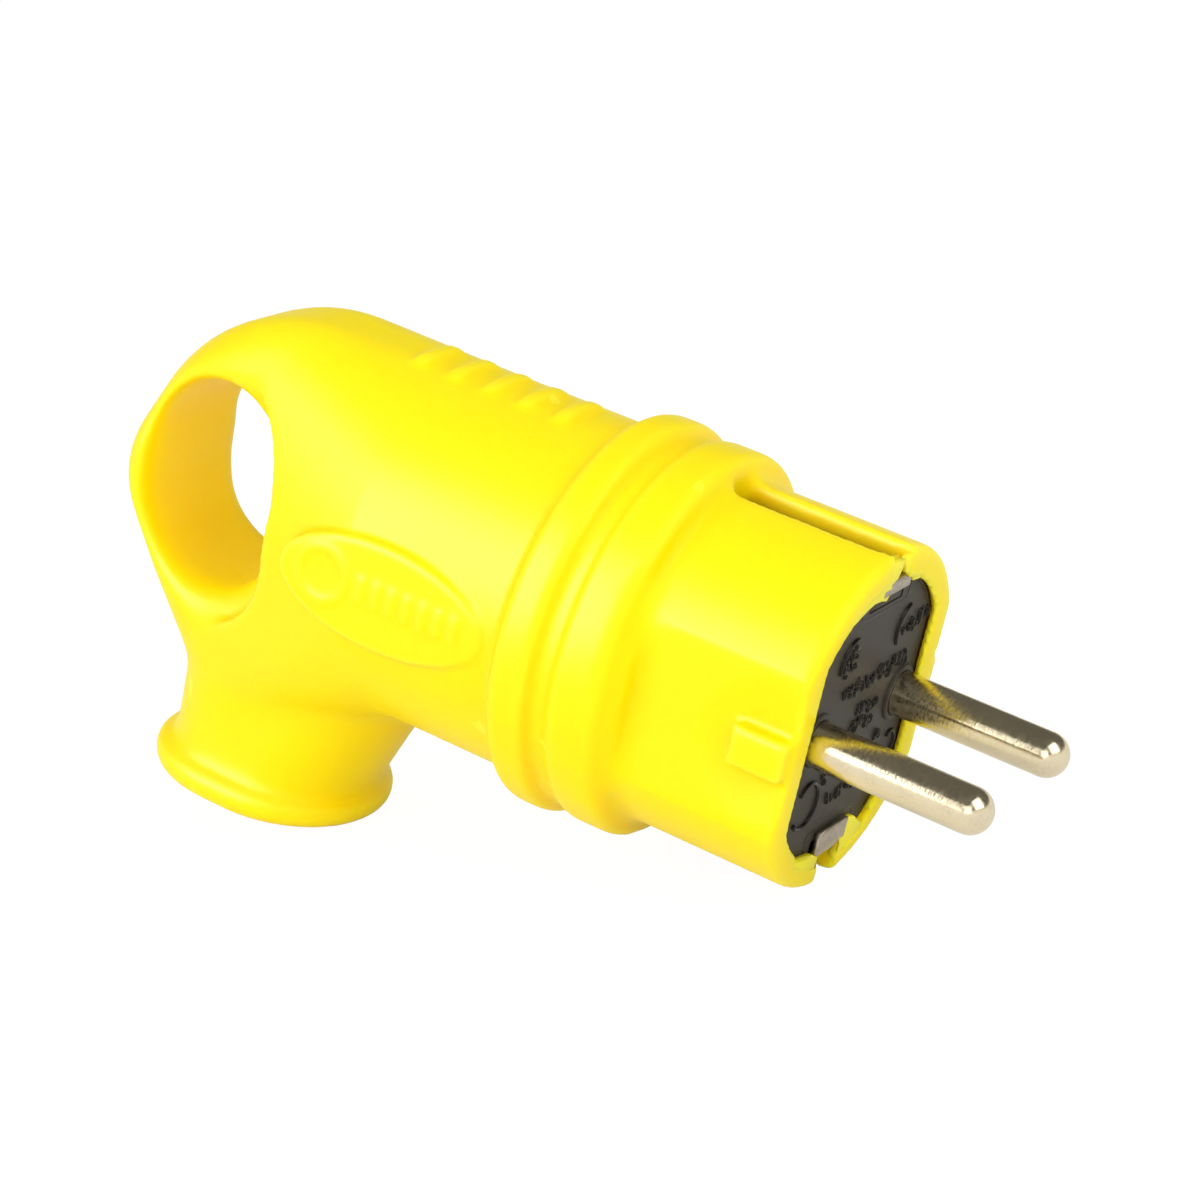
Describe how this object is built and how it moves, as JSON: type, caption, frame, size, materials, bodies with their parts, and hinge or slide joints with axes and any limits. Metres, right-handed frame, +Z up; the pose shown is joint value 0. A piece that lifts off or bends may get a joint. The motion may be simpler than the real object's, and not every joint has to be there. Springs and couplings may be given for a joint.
{
  "type": "angled earthed mains plug",
  "caption": "Angled earthed mains plug: rubber housing with finger ring, sealing collars and oval cable entry, two round pins, side earth contacts.",
  "frame": {"origin": "on the surface that the plug lies on, below the centre of its box", "axes": "+X towards the pins, +Y to the plug's left seen from behind, +Z up; the plug axis is tipped nose-down about Y"},
  "size_m": [0.1054, 0.0432, 0.057],
  "materials": {
    "rubber": "matt moulded rubber",
    "insert": "matt moulded plastic",
    "nickel": "nickel plate, brushed",
    "brass": "plain",
    "zinc": "zinc plate"
  },
  "bodies": {
    "root": {"housing": "rubber", "contact_carrier": "insert", "left_pin": "nickel", "right_pin": "nickel", "left_terminal_screw": "zinc", "right_terminal_screw": "zinc", "earth_strap": "nickel", "earth_washer": "brass", "earth_screw": "zinc", "clamp_frame": "insert", "upper_frame_screw": "zinc", "lower_frame_screw": "zinc", "cord_clamp_bar": "insert", "left_clamp_screw": "zinc", "right_clamp_screw": "zinc", "left_clamp_nut": "zinc", "right_clamp_nut": "zinc"}
  },
  "joints": []
}
